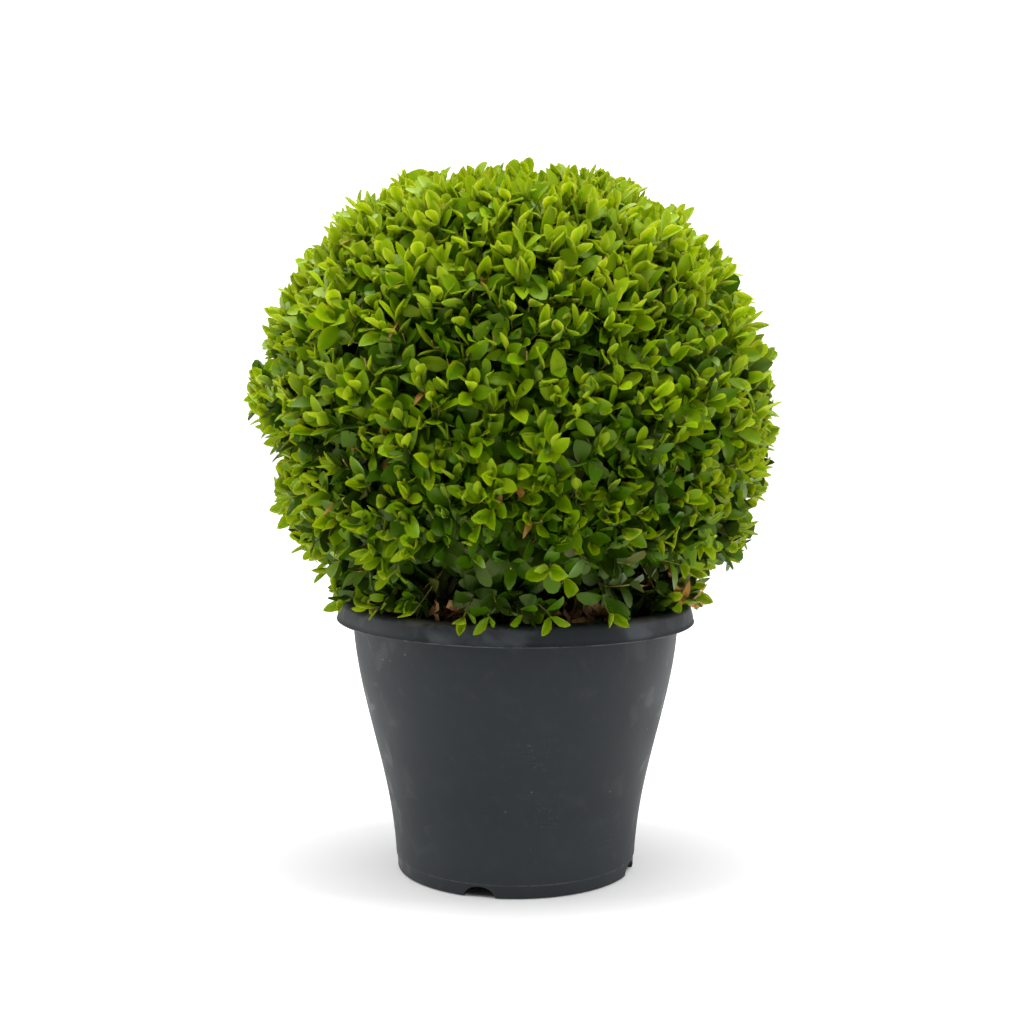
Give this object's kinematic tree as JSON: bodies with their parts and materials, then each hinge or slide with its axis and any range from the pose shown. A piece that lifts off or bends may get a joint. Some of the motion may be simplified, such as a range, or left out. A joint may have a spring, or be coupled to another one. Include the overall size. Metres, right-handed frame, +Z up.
{
  "type": "clipped ball shrub in a nursery pot",
  "caption": "Small-leaved evergreen shrub clipped to a ball with a slightly flat crown, growing from a short forked stem in a round dark plastic nursery pot with a rolled rim.",
  "frame": {"origin": "the middle of the pot's foot, on the ground that it stands on", "axes": "+Z up through the stem and the middle of the ball, +X to the right and -Y towards the viewer, with one of the four drainage notches a little left of the front"},
  "size_m": [0.3987, 0.3868, 0.5471],
  "materials": {
    "pot": "satin",
    "compost": "matte",
    "bark": "matte",
    "foliage": "satin"
  },
  "bodies": {
    "root": {"pot": "pot", "compost": "compost", "trunk": "bark", "leader": "bark", "bough_1": "bark", "bough_2": "bark", "bough_3": "bark", "bough_4": "bark", "bough_5": "bark", "bough_6": "bark", "clipped_head": "foliage"}
  },
  "joints": []
}
